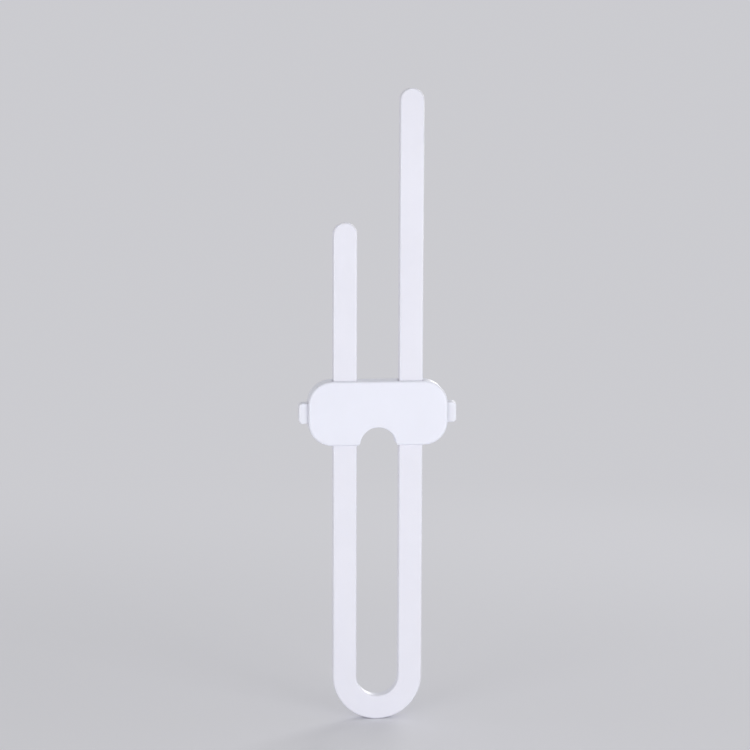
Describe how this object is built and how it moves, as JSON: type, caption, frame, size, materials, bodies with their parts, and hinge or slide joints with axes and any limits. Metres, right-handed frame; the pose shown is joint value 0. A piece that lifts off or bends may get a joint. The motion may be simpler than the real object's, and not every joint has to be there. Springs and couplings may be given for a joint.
{
  "type": "cabinet safety lock",
  "caption": "Slim sliding cabinet lock: a U-shaped bar with one longer leg and a squeeze-to-release head that ratchets along both legs.",
  "frame": {"origin": "on the axis of the bend, where a handle or knob sits, at the middle of the bar's thickness", "axes": "+Z along the legs from the bend to their tips, -Y out of the front face, +X towards the long leg"},
  "size_m": [0.0612, 0.0088, 0.246],
  "materials": {
    "bar_plastic": "white moulded plastic, semi-gloss",
    "head_plastic": "white moulded plastic, semi-gloss",
    "button_plastic": "white moulded plastic, semi-gloss",
    "spring_steel": "drawn spring wire",
    "screw_steel": "zinc-plated steel"
  },
  "bodies": {
    "bar": {"u_bar": "bar_plastic"},
    "head": {"front_cover": "head_plastic", "rear_cover": "head_plastic", "cover_screws": "screw_steel", "left_spring": "spring_steel", "right_spring": "spring_steel"},
    "left_button": {"left_button": "button_plastic"},
    "right_button": {"right_button": "button_plastic"}
  },
  "joints": [
    {"name": "head_slide", "type": "slide", "parent": "bar", "child": "head", "axis": [0, 0, 1], "range_m": [-0.09, 0.108]},
    {"name": "left_press", "type": "slide", "parent": "head", "child": "left_button", "axis": [1, 0, 0], "range_m": [0, 0.002], "stiffness_N_per_m": 600, "springref_m": -0.003, "deforming": ["left_spring"]},
    {"name": "right_press", "type": "slide", "parent": "head", "child": "right_button", "axis": [-1, 0, 0], "range_m": [0, 0.002], "stiffness_N_per_m": 600, "springref_m": -0.003, "deforming": ["right_spring"]}
  ]
}
